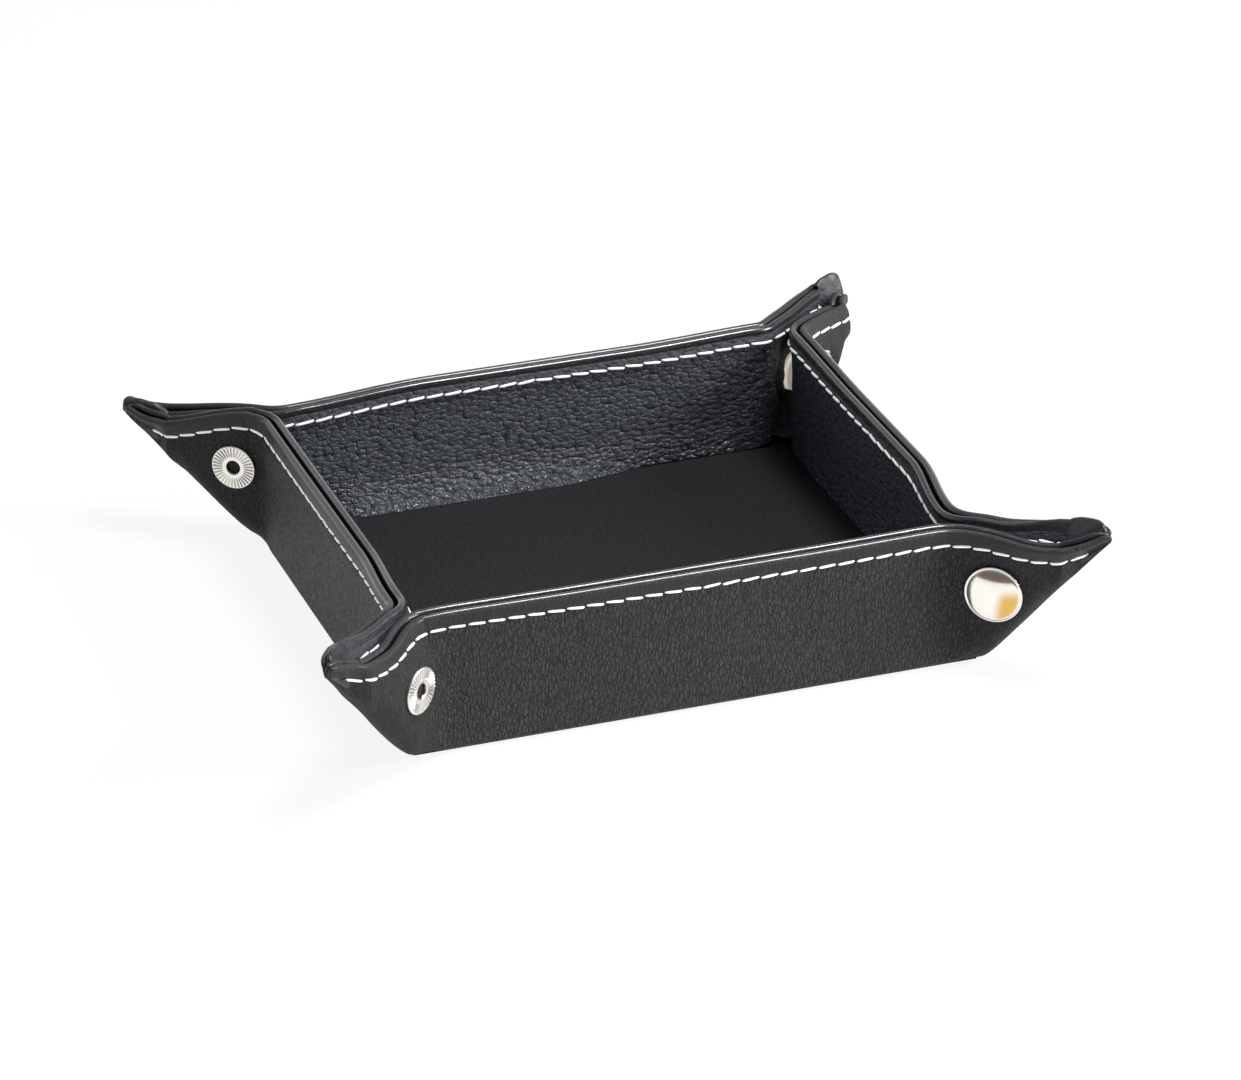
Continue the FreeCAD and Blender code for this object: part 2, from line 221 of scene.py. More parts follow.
def outside(half):
    """The cover's outer face from the middle of a wall to the tip of its ear: columns of points from foot to rim."""
    rim = half.rim
    far_x, far_w, _ = walk(half, rim.reach, -rim.pull, rim.mouth, rim.sweep)
    last = 2 * rim.reach - to_ear(half, far_x, far_w)[0]
    s = np.concatenate([np.linspace(-half.length, panel_end, panel_columns)[:-1],
                        np.linspace(panel_end, foot_end, bend_columns)[:-1], np.linspace(foot_end, last, ear_columns)])
    near_tip = ease(s, last - tip_length, last)
    blunt = 1 - np.sqrt(1 - 0.8 * np.clip((s - last) / blunt_length + 1, 0, 1) ** 2)

    # The lower edge: along the wall's foot, then up the ear's fold.
    bottom_x, bottom_w, bottom_heading = walk(half, s, -foot_round, 0, corner_round)
    bottom_reach, bottom_apart = to_ear(half, bottom_x, bottom_w)
    bottom_reach *= mixed(1, half.fold.reach / bottom_reach[-1], ease(bottom_reach, 0, ear_onset))
    bottom_x, bottom_w = to_wall(half, bottom_reach, bottom_apart)
    bottom_z = stand_off + half.fold.slope * (bottom_reach + np.hypot(bottom_reach, fold_radius)) / 2
    bottom_z += half.fold.arch * np.sin(np.pi * np.clip(bottom_reach / half.fold.reach, 0, 1))

    # The rim: level on the wall, then the ear's own line.
    rim_x, rim_w, _ = walk(half, s, -rim.pull * ease(s, -34 * mm, -12 * mm), rim.mouth, rim.sweep)
    reach, apart = to_ear(half, rim_x, rim_w)
    half.give = (rim_apart(half.facing, reach) - rim_apart(rim, reach)) / 2
    apart += rim_apart(rim, reach) - rim.mouth - tip_narrowing * blunt
    rim_x, rim_w = to_wall(half, reach, apart)
    level = rim_height + rim_lift[half.wall]
    wall_z = mixed(level, rim.crest, ease(s, -40 * mm, -6 * mm))
    sink = (rim.dip - rim.crest) * ease(reach, -2 * mm, rim.dip_at)
    climb = (rim.height - rim.dip) * np.clip((reach - rim.dip_at) / (rim.reach - rim.dip_at), 0, 1) ** 2
    rim_z = wall_z + sink + climb - tip_drop * blunt
    half.hem = hem_width * (1 - 0.2 * near_tip) * (1 - 0.8 * blunt)

    # The line between the rounded foot and the face.
    foot_x, foot_w, _ = walk(half, s, 0, ear_face + half.fold.open, half.sweep)
    foot_reach, foot_apart = to_ear(half, foot_x, foot_w)
    foot_reach *= mixed(1, (half.fold.reach + rim.reach) / 2 / foot_reach[-1], ease(foot_reach, 0, ear_onset))
    in_ear = ease(foot_reach, -7 * mm, 2 * mm)
    standing = rim_z - bottom_z
    nose = np.clip(standing - hem_room, 0.25 * standing, fold_height)
    foot_apart *= mixed(1, np.clip(nose / (5 * mm), 0.3, 1), in_ear)
    foot_x, foot_w = to_wall(half, foot_reach, foot_apart)
    foot_z = mixed(foot_round, bottom_z + nose, in_ear)

    # Rows round the foot and up the face, closer together in the turned edge.
    bottom = np.stack([bottom_x, bottom_w, bottom_z], 1)
    foot = np.stack([foot_x, foot_w, foot_z], 1)
    round_off = 0.55 * foot_round
    way = np.stack([-np.sin(bottom_heading), np.cos(bottom_heading), 0 * s], 1)
    from_bottom = bottom + way * mixed(round_off, fold_softness * (1 - 0.5 * near_tip), in_ear)[:, None]
    from_foot = foot - up * mixed(round_off, 0.5 * nose, in_ear)[:, None]
    q = np.linspace(0, 1, foot_row_count)[None, :, None]
    foot_rows = (bottom[:, None] * (1 - q) ** 3 + 3 * from_bottom[:, None] * q * (1 - q) ** 2
                 + 3 * from_foot[:, None] * q ** 2 * (1 - q) + foot[:, None] * q ** 3)
    height = (rim_z - foot_z)[:, None]
    below = hem_rows * mixed(seam_stretch[half.wall], 1, in_ear)[:, None]
    beyond = np.clip(below - hem_most * height, 0, None) / (hem_spare * height)
    below = np.minimum(below, hem_most * height) + hem_spare * height * (1 - np.exp(-beyond))
    top = 1 - below / height
    lower = np.linspace(0, 1, face_row_count + 1)[None, 1:-1] * top[:, :1]
    share = np.concatenate([lower, top], 1)
    plan_share = share ** 3
    face_rows = np.stack([
        mixed(foot_x[:, None], rim_x[:, None], plan_share),
        mixed(foot_w[:, None], rim_w[:, None], plan_share),
        mixed(foot_z[:, None], rim_z[:, None], share)], 2)
    local = np.concatenate([foot_rows, face_rows], 1)

    # The snap holds the ear flat round it; the seam is pressed in and the lip puffs up above it.
    reach, apart = to_ear(half, local[..., 0], local[..., 1])
    from_snap = np.hypot(reach - half.snap_reach, local[..., 2] - half.snap_height)
    held = np.exp(-(from_snap / (snap_hold - half.fold.open)) ** 6)
    local[..., 0], local[..., 1] = to_wall(half, reach, mixed(apart, ear_face - stand_off, held))
    half.s = s
    half.depth = np.concatenate([np.full((len(s), local.shape[1] - len(hem_rows)), 9 * mm),
                                 np.broadcast_to(hem_rows, (len(s), len(hem_rows)))], 1)
    half.apart = to_ear(half, local[..., 0], local[..., 1])[1]
    half.in_ear = in_ear
    half.share = np.clip((local[..., 2] - foot_z[:, None]) / height, 0, 1)
    half.sewn = s[height[:, 0] * hem_most > seam_depth + 0.2 * mm][-1]
    points = half.foot + local[..., :1] * half.along + local[..., 1:2] * half.outward + local[..., 2:] * up
    normals = surface_normals(half, points)
    seam = -seam_sink * np.exp(-((half.depth - seam_depth) / seam_spread) ** 2) * (s < half.sewn)[:, None]
    puff = lip_puff * ease(half.depth, 3.4 * mm, 2 * mm)
    crease = 0 * seam
    z = local[..., 2]
    for at, low, high, deep in wrinkles.get(half.ear.removesuffix("_ear"), []):
        tall = (ease(z, low * mm - wrinkle_fade, low * mm + wrinkle_fade)
                * ease(z, high * mm + wrinkle_fade, high * mm - wrinkle_fade))
        crease -= deep * mm * np.exp(-((s[:, None] - at * mm) / wrinkle_spread) ** 2) * tall
    half.points = points + normals * (seam + puff + crease)[..., None]
    half.normals = surface_normals(half, half.points)
    half.split = s[np.argmin(np.abs(s - tip_start))] if half.droops else s[-1]
    half.in_bend = (s >= panel_end - hair) & (s <= half.split + hair)
    half.in_tip = s >= half.split - hair


halves = [wall_half(turn, end) for turn in range(4) for end in (1, -1)]
for half in halves:
    outside(half)


def shell(name, rings, rings_normals, mark, flip, material):
    """A closed skin through a run of closed rings, with both ends shut. A zero normal is left to the mesh. Mark is
    what the material reads from place to place: how tight the leather is, or where a painted reflection or painted
    shade lies on the metal."""
    count, around = rings.shape[:2]
    start = np.arange(count - 1)[:, None] * around + np.arange(around)[None]
    aside = np.arange(count - 1)[:, None] * around + (np.arange(around)[None] + 1) % around
    quads = np.stack([start, start + around, aside + around, aside], 2).reshape(-1, 4)
    ends = [list(range(around)), list(range((count - 1) * around, count * around))[::-1]]
    faces = quads.tolist() + ends
    if flip:
        faces = [face[::-1] for face in faces]
    mesh = bpy.data.meshes.new(name)
    mesh.from_pydata(rings.reshape(-1, 3).tolist(), [], faces)
    smooth = np.ones(len(faces), bool)
    smooth[-2:] = False
    mesh.polygons.foreach_set("use_smooth", smooth)
    mesh.normals_split_custom_set_from_vertices(rings_normals.reshape(-1, 3).tolist())
    mesh.attributes.new("mark", "FLOAT", "POINT").data.foreach_set("value", mark.astype(np.float32).ravel())
    mesh.materials.append(material)
    made = bpy.data.objects.new(name, mesh)
    bpy.context.scene.collection.objects.link(made)
    return made


lip_steps = 9


def lip(half, edge, edge_normals):
    """The rounded top of a turned edge, from its face over to the groove between the two lips."""
    rise = np.cross(np.gradient(edge, axis=0) * half.end, edge_normals)
    rise /= np.linalg.norm(rise, axis=1, keepdims=True)
    rise *= np.sign(rise[:, 2:])
    radius = half.hem[:, None] / 2
    middle = edge - edge_normals * radius
    angles = np.linspace(0, math.pi, lip_steps + 1)[None, 1:, None]
    over = np.cos(angles) * edge_normals[:, None] + np.sin(angles) * rise[:, None]
    return middle[:, None] + over * radius[:, None], over


def turned_thickness(half):
    """How thick the turned edge is behind its face: one layer low down, two at the seam, rounded off at the lip."""
    depth = half.depth[:, first_face:]
    folded = mixed(0.5 * half.hem, half.hem + hem_gap / 2, ease(depth, 7 * mm, 5 * mm).T).T
    return mixed(folded.T, half.hem, ease(depth, seam_depth, 1 * mm).T).T[..., None]


def cover_rings(half):
    """Rings round the cover's face: up its outside, over the lip, and down its inside."""
    face = half.points[:, first_face:]
    normals = half.normals[:, first_face:]
    over, over_normals = lip(half, face[:, -1], normals[:, -1])
    inside = away_from_fold(half, face - normals * turned_thickness(half), slice(first_face, None))[:, ::-1]
    rings = np.concatenate([face, over, inside[:, 1:]], 1)
    ring_normals = np.concatenate([normals, over_normals, 0 * inside[:, 1:]], 1)
    ring_normals[-1] = 0
    return rings, ring_normals, tautness(half, rings)


hem_tightness = 0.86
ear_tightness = 0.65


def tautness(half, rings):
    """How tightly the leather is drawn: fully over the lip, half way in the ear, little on the face of a wall."""
    in_hem = hem_tightness * ease(half.depth, 3.7 * mm, 3.0 * mm)
    face = np.maximum(in_hem, ear_tightness * half.in_ear[:, None])[:, first_face:]
    taut = np.ones(rings.shape[:2]) * (1 - 0.1 * half.in_ear[:, None])
    lead = rings.shape[1] - 2 * face.shape[1] - lip_steps + 1
    taut[:, lead:lead + face.shape[1]] = face
    taut[:, :lead] = face[:, :1]
    return taut


foot_sheet = 0.8 * sheet


def fold_rings(half):
    """Rings round the cover's foot, which is the bottom bend of a wall and the folded edge of an ear."""
    foot = half.points[:, :foot_row_count]
    normals = half.normals[:, :foot_row_count]
    inside = away_from_fold(half, foot - normals * foot_sheet, slice(foot_row_count))[:, ::-1]
    return with_back(half, foot, normals, inside)


def with_back(half, face, normals, back):
    """Rings out of a face and its back, tight in the ear only."""
    rings = np.concatenate([face, back], 1)
    taut = np.broadcast_to(ear_tightness * half.in_ear[:, None], rings.shape[:2])
    return rings, np.concatenate([normals, 0 * back], 1), taut


fold_rest = 0.5 * mm
least_layer = 0.15 * mm


def away_from_fold(half, points, rows):
    """Keeps a layer between the face where the two halves of the ear meet and the cover's own face."""
    x = (points - half.foot) @ half.along
    w = (points - half.foot) @ half.outward
    give = half.give[:, None] * half.share[:, rows] ** 3
    apart = to_ear(half, x, w)[1] + give
    outer = half.apart[:, rows] + give
    pushed = (apart + np.hypot(apart, fold_rest)) / 2
    pushed = np.minimum(pushed, np.maximum(outer - least_layer, 0.5 * outer))
    return points + (pushed - apart)[..., None] * half.ear_out


class Wire:
    """A socket in a material's node tree. Sums written on it add the nodes that work them out."""

    def __init__(self, tree, socket=None):
        self.tree = tree
        self.socket = socket

    def feed(self, target, value):
        if isinstance(value, Wire):
            self.tree.links.new(value.socket, target)
        else:
            target.default_value = value

    def node(self, kind, settings, sockets, output=0):
        made = self.tree.nodes.new("ShaderNode" + kind)
        for name, value in settings.items():
            setattr(made, name, value)
        for name, value in sockets.items():
            self.feed(made.inputs[name], value)
        return Wire(self.tree, made.outputs[output])

    def maths(self, operation, first, second=0.0):
        return self.node("Math", {"operation": operation}, {0: first, 1: second})

    def __add__(self, other):
        return self.maths("ADD", self, other)

    def __sub__(self, other):
        return self.maths("SUBTRACT", self, other)

    def __mul__(self, other):
        return self.maths("MULTIPLY", self, other)

    def __pow__(self, other):
        return self.maths("POWER", self, other)

    def __radd__(self, other):
        return self.maths("ADD", other, self)

    def __rsub__(self, other):
        return self.maths("SUBTRACT", other, self)

    def __rmul__(self, other):
        return self.maths("MULTIPLY", other, self)


def new_material(name):
    made = bpy.data.materials.new(name)
    made.use_nodes = True
    return made, Wire(made.node_tree)


def dress(material, wire, sockets):
    shader = material.node_tree.nodes["Principled BSDF"]
    for name, value in sockets.items():
        wire.feed(shader.inputs[name], value)


def place(wire, scale=(1, 1, 1)):
    """Where a point of the piece lies, in metres of the part's frame, times scale."""
    there = wire.node("TexCoord", {}, {}, "Object")
    return wire.node("VectorMath", {"operation": "MULTIPLY"}, {0: there, 1: scale})


def blend_colour(wire, share, dark, light):
    return wire.node("Mix", {"data_type": "RGBA"}, {"Factor": share, "A": dark, "B": light}, "Result")


def ramp(wire, value, start, stop):
    """0 to 1 as a value goes from start to stop."""
    return wire.node("MapRange", {"interpolation_type": "SMOOTHSTEP"},
                     {"Value": value, "From Min": start, "From Max": stop}, "Result")


def grain(wire, cell, stretch, dome):
    """Pebbled grain: cells with creases between them, 1 on the pebbles and 0 in the creases; dome rounds them."""
    wander = wire.node("TexNoise", {}, {"Vector": place(wire), "Scale": 420, "Detail": 3}, "Color")
    there = wire.node("VectorMath", {"operation": "MULTIPLY_ADD"},
                      {0: wander, 1: (0.0013, 0.0013, 0.0013), 2: place(wire)})
    spread = wire.node("VectorMath", {"operation": "MULTIPLY"}, {0: there, 1: stretch})
    to_edge = {"feature": "DISTANCE_TO_EDGE"}
    edge = wire.node("TexVoronoi", to_edge, {"Vector": spread, "Scale": 1 / cell}, "Distance")
    middle = wire.node("TexVoronoi", {"feature": "SMOOTH_F1"},
                       {"Vector": spread, "Scale": 1 / cell, "Smoothness": 0.5}, "Distance")
    fine = wire.node("TexVoronoi", to_edge, {"Vector": spread, "Scale": 2.1 / cell}, "Distance")
    domes = 1 - (1.1 * middle) ** 2
    cracks = ramp(wire, edge, 0.0, 0.17)
    creases = ramp(wire, fine, 0.0, 0.14)
    return (dome * domes + (1 - dome) * cracks) * (0.78 + 0.22 * creases)


def leather(name, dark, light, drawn, roughness, gloss, cell, stretch, dome, relief, patches):
    """Black pebbled leather: on a slack face dark in the creases and light on the pebbles, painted shade of the grain,
    over a tone that comes and goes over the hide; drawn where it is tight; gloss is its specular level, and patches is
    how much the grain comes and goes over the hide."""
    made, wire = new_material(name)
    tight = wire.node("Attribute", {"attribute_name": "mark"}, {}, "Fac")
    pebble = grain(wire, cell, stretch, dome)
    hide = wire.node("TexNoise", {}, {"Vector": place(wire), "Scale": 55, "Detail": 3}, "Fac")
    pores = wire.node("TexNoise", {}, {"Vector": place(wire), "Scale": 2600, "Detail": 3}, "Fac")
    slack = 1 - 0.9 * tight
    height = slack * (pebble * (1 - patches + 2 * patches * hide) + 0.1 * pores)
    bump = wire.node("Bump", {}, {"Height": height, "Strength": 1.0, "Distance": relief})
    # Painted shade: the face colour is darker in the grain's creases and lighter on the pebbles.
    face = blend_colour(wire, 0.7 * pebble + 0.3 * hide, dark, light)
    in_creases = 0.12 * slack * (1 - pebble)
    half_drawn = 0.8 * tight * (1 - tight)
    dress(made, wire, {
        "Base Color": blend_colour(wire, tight, face, drawn),
        "Roughness": roughness + in_creases + 0.1 * (hide - 0.5) + half_drawn - 0.12 * tight ** 8,
        "Normal": bump,
        "Specular IOR Level": gloss,
        "Coat Weight": tight ** 14,
        "Coat Roughness": 0.16,
    })
    return made


cover_leather = leather(
    "cover_leather", dark=(0.008, 0.008, 0.008, 1), light=(0.062, 0.062, 0.061, 1), drawn=(0.021, 0.021, 0.021, 1),
    roughness=0.47, gloss=0.25, cell=0.80 * mm, stretch=(1.1, 1.1, 0.45), dome=0.35, relief=0.58 * mm, patches=0.3)


def drawn_in(piece, half):
    """An ear that droops is too long for its corner once it is flat; its piece is parented to the ear's body, with a
    mesh of its own.
    """
    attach(piece, half.ear)
    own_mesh(piece)


def ear_layer(half, layer, face_rings, edge_rings, edge_start, flip, material):
    """One layer of half an ear, cover or lining: its face, which bends at the end of the wall, its folded edge, and
    the tip of an ear that droops."""
    def cut(kind, rings_of, kept):
        piece = shell(f"{half.ear}_{layer}_{kind}", *(part[kept] for part in rings_of(half)), flip, material)
        return piece

    skin = cut("skin", face_rings, half.in_bend)
    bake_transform(skin)
    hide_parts(f"{half.ear}_{layer}")
    fold = cut("fold", edge_rings, half.s >= edge_start - hair)
    if half.droops:
        drawn_in(cut("tip", face_rings, half.in_tip), half)
        drawn_in(fold, half)
    else:
        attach(fold, half.ear)
        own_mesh(fold)


bends = {half.wall: [] for half in halves}
for half in halves:
    bends[half.wall].append(half)
    ear_layer(half, "cover", cover_rings, fold_rings, foot_end, half.end < 0, cover_leather)


def joined(right, left, rings_of, until):
    """A wall's rings from its left end to its right end, out of its two halves."""
    runs = []
    for half in (left, right):
        kept = half.s <= until + hair
        parts = [part[kept] for part in rings_of(half)]
        runs.append([part[::-1] for part in parts] if half is left else [part[1:] for part in parts])
    return [np.concatenate(parts) for parts in zip(*runs)]


for wall, (right, left) in bends.items():
    face = shell(f"{wall}_cover_skin", *joined(right, left, cover_rings, panel_end), False, cover_leather)
    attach(face, f"{wall}_wall")
    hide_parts(f"{wall}_cover")
    foot = shell(f"{wall}_cover_foot", *joined(right, left, fold_rings, foot_end), False, cover_leather)
    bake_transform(foot)


def plate(name, steps, corner, material):
    """A flat sheet with rounded corners: steps are (inset from the base's edge, height), round its edge."""
    rings = []
    arc = np.linspace(0, math.pi / 2, 9)
    for inset, z in steps:
        half_x, half_y = base_length / 2 - inset, base_width / 2 - inset
        radius = max(corner - inset, 0.5 * mm)
        ring = []
        for quarter, (sx, sy) in enumerate(((1, 1), (-1, 1), (-1, -1), (1, -1))):
            angle = arc + quarter * math.pi / 2
            ring.append(np.stack([sx * (half_x - radius) + radius * np.cos(angle),
                                  sy * (half_y - radius) + radius * np.sin(angle), np.full(len(arc), z)], 1))
        rings.append(np.concatenate(ring))
    rings = np.array(rings)
    return shell(name, rings, 0 * rings, 0 * rings[..., 0], True, material)


underside_steps = [(1.1 * mm, 0), (1.1 * mm, 0.08 * mm), (1.5 * mm, sheet), (5 * mm, sheet)]
underside_corner = 1.6 * mm
underside = plate("base_cover_skin", underside_steps, underside_corner, cover_leather)
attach(underside, "base")
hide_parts("base_cover")

# The web of leather under each corner, between the underside and the ear's folded edge: reach along the ear, half
# width and height of its inner and its outer end, in millimetres.
(inner, inner_apart, inner_z), (outer, outer_apart, outer_rise) = (-4.0, 1.8, 0.3), (1.2, 0.4, 2.0)
web_thickness = 0.4 * mm
for half in halves:
    if half.end == 1:
        outer_z = outer_rise * half.fold.slope
        outline = ((inner, -inner_apart, inner_z), (outer, -outer_apart, outer_z),
                   (outer, outer_apart, outer_z), (inner, inner_apart, inner_z))
        low = np.array([half.foot + (r * half.ear_way + a * half.ear_out + z * up) * mm for r, a, z in outline])
        rings = np.array([low, low + web_thickness * up])
        web = shell(f"{half.corner}_cover_web", rings, 0 * rings, 0 * rings[..., 0], False, cover_leather)
        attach(web, "base")


# Stiffeners: one sheet of grey board in the base and one in each wall.
# They are glued between cover and lining and don't show on a finished tray.

board_dark = (0.16, 0.15, 0.135, 1)
board_light = (0.26, 0.245, 0.22, 1)
board_material, wire = new_material("grey_board")
fibres = wire.node("TexNoise", {}, {"Vector": place(wire, (1, 1, 6)), "Scale": 900, "Detail": 4}, "Fac")
bump = wire.node("Bump", {}, {"Height": fibres, "Strength": 0.3, "Distance": 0.0002})
dress(board_material, wire, {
    "Base Color": blend_colour(wire, fibres, board_dark, board_light),
    "Roughness": 0.85 + 0.1 * fibres,
    "Normal": bump,
})
base_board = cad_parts["base_board"]
base_board.data.materials.clear()
base_board.data.materials.append(board_material)
board_end = -11 * mm
board_inset = 1.1 * sheet
board_rows = slice(first_face + 4, first_face + face_row_count + 1)


def board_rings(half):
    """Rings round a wall's board, in the room between the cover and the lining."""
    face = half.points[:, board_rows]
    normals = half.normals[:, board_rows]
    outside_face = face - normals * board_inset
    inside_face = (face - normals * (wall_thickness - board_inset))[:, ::-1]
    rings = np.concatenate([outside_face, inside_face], 1)
    return rings, 0 * rings, 0 * rings[..., 0]


for wall, (right, left) in bends.items():
    board = shell(f"{wall}_board_sheet", *joined(right, left, board_rings, board_end), False, board_material)
    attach(board, f"{wall}_wall")
    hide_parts(f"{wall}_board")


# Lining: one blank of black leather, pebbled up the walls and rubbed smooth on the floor.
# Its edge is turned over like the cover's, and it tucks into the crease round the floor.

floor_top = 4 * mm
tuck_inset = 1.9 * mm
tuck_gap = 0.05 * mm
ear_stack = 2 * mm
fold_lift = 1.6 * mm
fold_sheet = 0.5 * sheet
lining_fold_start = -11 * mm
slack_height = 7.5 * mm
slack_rows = 13
slack_sheet = 0.3 * mm
slack_gap = 0.02 * mm
slack_tightness = 0.45
slack_fade = 8 * mm
back_slack = (5 * mm, 30 * mm)
slack_inset = {"front": 1.5 * mm, "right": 0.4 * mm, "back": 3.6 * mm, "left": 1.5 * mm}


def lining_points(half):
    """The lining's face behind the cover's: a board apart in the walls, close behind it in the ears."""
    hem = ease(half.depth, 7.4 * mm, 4.6 * mm)
    stack = mixed(wall_thickness, ear_stack, ease(half.s, -7 * mm, -1 * mm))[:, None]
    thick = mixed(stack, 2 * half.hem[:, None] + hem_gap, hem)
    inward = half.normals * (1 - (1 - half.rim.cant) * hem[..., None] * up)
    inward /= np.linalg.norm(inward, axis=2, keepdims=True)
    face = half.points - inward * thick[..., None]
    above_floor = (floor_top + tuck_gap - foot_round) * (1 - half.share) * (1 - half.in_ear[:, None])
    return away_from_fold(half, face + above_floor[..., None] * up, slice(None))


def lining_rings(half):
    """Rings round the lining's face, from the tuck in the floor's crease up, over the lip and down its back."""
    face = lining_points(half)[:, first_face:]
    normals = -half.normals[:, first_face:]
    over, over_normals = lip(half, face[:, -1], normals[:, -1])
    back = (face - normals * turned_thickness(half))[:, ::-1]
    tuck_line = wall_thickness - tuck_inset - tuck_gap
    tuck = face[:, :1] + (half.outward - up) * tuck_line
    tuck = mixed(tuck, face[:, :1] - up * 0.5 * mm, half.in_ear[:, None, None])
    rings = np.concatenate([tuck, face, over, back[:, 1:]], 1)
    ring_normals = np.concatenate([0 * tuck, normals, over_normals, 0 * back[:, 1:]], 1)
    ring_normals[-1] = 0
    return rings, ring_normals, tautness(half, rings)


def lining_fold_rings(half):
    """Rings round the lining in the folded edge of an ear, a little above the cover."""
    face = lining_points(half)[:, :foot_row_count]
    rise = np.linspace(fold_lift, 0, foot_row_count)[None, :, None]
    face = face + up * rise * half.in_ear[:, None, None]
    normals = -half.normals[:, :foot_row_count]
    return with_back(half, face, normals, (face - normals * fold_sheet)[:, ::-1])


def slack_rings(half):
    """The slack of the lining at a wall's foot, where it swells out over the floor's edge."""
    kept = half.s <= panel_end + hair
    line = lining_points(half)[kept, first_face]
    run = half.s[kept]
    inset = slack_inset[half.wall] * ease(run, panel_end, panel_end - slack_fade)
    if half.wall == "back":
        full_to, none_from = back_slack
        inset = inset * ease(line[:, 0], none_from, full_to)
    rise = np.linspace(0, 1, slack_rows)[None, :, None]
    swell = (1 - rise) ** 3 * inset[:, None, None] + slack_gap
    face = line[:, None] - half.outward * swell + up * rise * slack_height
    normals = -surface_normals(half, face)
    back = (face + half.outward * slack_sheet)[:, ::-1]
    rings = np.concatenate([face, back], 1)
    pressed = np.concatenate([rise, rise[:, ::-1]], 1)[..., 0] * slack_tightness
    return rings, np.concatenate([normals, 0 * back], 1), np.broadcast_to(pressed, rings.shape[:2])


lining_leather = leather(
    "lining_leather", dark=(0.017, 0.019, 0.023, 1), light=(0.072, 0.080, 0.096, 1), drawn=(0.007, 0.007, 0.008, 1),
    roughness=0.36, gloss=0.5, cell=1.2 * mm, stretch=(0.75, 0.75, 1.25), dome=0.85, relief=0.5 * mm, patches=0.15)
slack_leather = leather(
    "slack_leather", dark=(0.008, 0.009, 0.011, 1), light=(0.072, 0.080, 0.096, 1), drawn=(0.040, 0.044, 0.053, 1),
    roughness=0.22, gloss=0.8, cell=1.2 * mm, stretch=(0.75, 0.75, 1.25), dome=0.85, relief=0.95 * mm, patches=0.15)
floor_leather = leather(
    "floor_leather", dark=(0.006, 0.006, 0.007, 1), light=(0.012, 0.012, 0.013, 1), drawn=(0.012, 0.012, 0.013, 1),
    roughness=0.62, gloss=0.25, cell=1.1 * mm, stretch=(1, 1, 1), dome=0.5, relief=0.15 * mm, patches=0.5)
for half in halves:
    ear_layer(half, "lining", lining_rings, lining_fold_rings, lining_fold_start,
              half.end > 0, lining_leather)

for wall, (right, left) in bends.items():
    face = shell(f"{wall}_lining_skin", *joined(right, left, lining_rings, panel_end), True, lining_leather)
    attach(face, f"{wall}_wall")
    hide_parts(f"{wall}_lining")
    run = [np.concatenate([a[::-1], b[1:]]) for a, b in zip(slack_rings(left), slack_rings(right))]
    slack = shell(f"{wall}_lining_slack", *run, True, slack_leather)
    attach(slack, f"{wall}_wall")
    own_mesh(slack)

floor_steps = [(4.7 * mm, floor_top), (4.3 * mm, floor_top - 0.08 * mm), (4.1 * mm, floor_top - 0.25 * mm),
               (tuck_inset + 0.1 * mm, tuck_inset), (tuck_inset + 0.3 * mm, tuck_inset - 0.3 * mm),
               (5 * mm, floor_top - sheet)]
floor_corner = 3.5 * mm
floor_skin = plate("base_lining_skin", floor_steps, floor_corner, floor_leather)
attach(floor_skin, "base")
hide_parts("base_lining")


# Thread: one row of white stitches a little below the rim, through both turned edges.
# The row shows outside and inside, each stitch pulled down into the leather at its ends.

stitch_pitch = 4.2 * mm
stitch_length = 4.02 * mm
stitch_slant = 0.32
stitch_sunk = 0.72
thread_radius = 0.27 * mm
thread_flat = 1.15
thread_sides = 8
thread_steps = 9
thread_material, wire = new_material("white_thread")
twist = wire.node("TexNoise", {}, {"Vector": place(wire), "Scale": 2200, "Detail": 2}, "Fac")
bump = wire.node("Bump", {}, {"Height": twist, "Strength": 0.5, "Distance": 0.0001})
dress(thread_material, wire, {
    "Base Color": blend_colour(wire, twist, (0.80, 0.79, 0.76, 1), (0.95, 0.94, 0.92, 1)),
    "Roughness": 0.7 + 0.15 * twist,
    "Normal": bump,
    # The thread carries a faint painted glow: emission that stands in for light falling on it, not a lamp.
    "Emission Color": (1, 0.99, 0.96, 1),
    "Emission Strength": 0.25,
})


